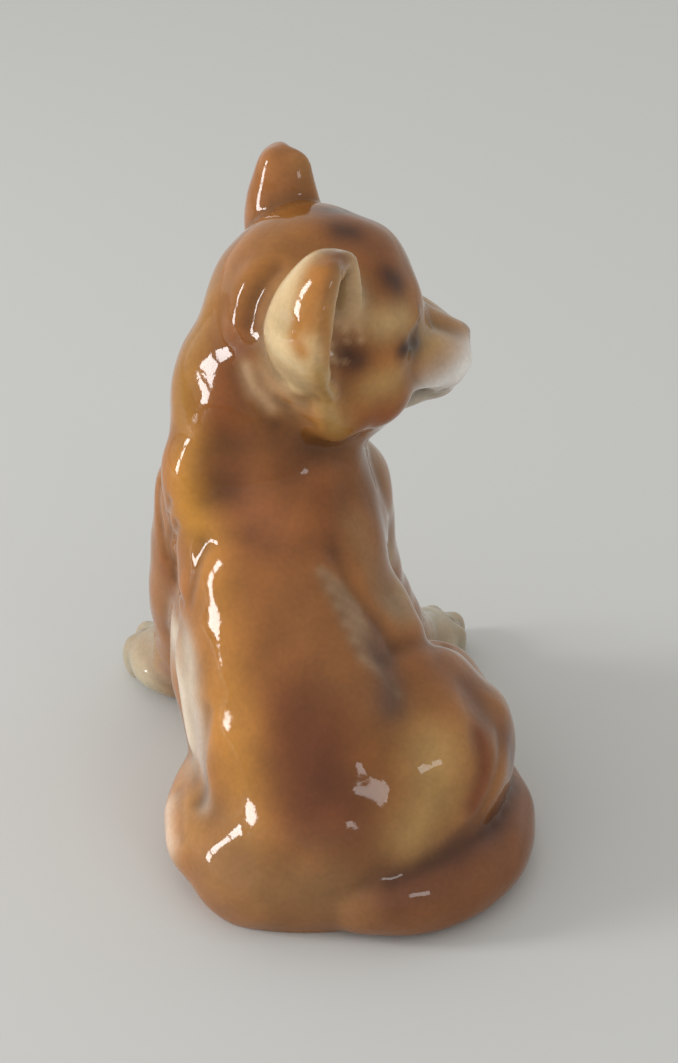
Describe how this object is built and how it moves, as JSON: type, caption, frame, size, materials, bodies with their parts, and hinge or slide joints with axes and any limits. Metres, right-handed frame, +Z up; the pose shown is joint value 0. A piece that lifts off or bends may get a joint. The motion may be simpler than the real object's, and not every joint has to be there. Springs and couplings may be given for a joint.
{
  "type": "seated lion cub figurine",
  "caption": "Hollow glazed ceramic figurine of a seated lion cub with its head turned to one side and its tail laid round the haunch; stands free on a flat seat.",
  "frame": {"origin": "on the table, under the middle of the figurine's box", "axes": "+Z up, -Y the way the chest faces, +X the cub's left side"},
  "size_m": [0.076, 0.1034, 0.1209],
  "materials": {
    "back_glaze": "glossy honey brown glaze",
    "head_glaze": "glossy amber glaze with painted face",
    "ear_glaze": "glossy cream and orange glaze",
    "foreleg_glaze": "glossy tan glaze, cream on the paws",
    "haunch_glaze": "glossy tan glaze",
    "tail_glaze": "glossy dark brown glaze"
  },
  "bodies": {
    "root": {"torso": "back_glaze", "head": "head_glaze", "left_ear": "ear_glaze", "right_ear": "ear_glaze", "left_foreleg": "foreleg_glaze", "right_foreleg": "foreleg_glaze", "left_hind_leg": "haunch_glaze", "right_hind_leg": "haunch_glaze", "tail": "tail_glaze"}
  },
  "joints": []
}
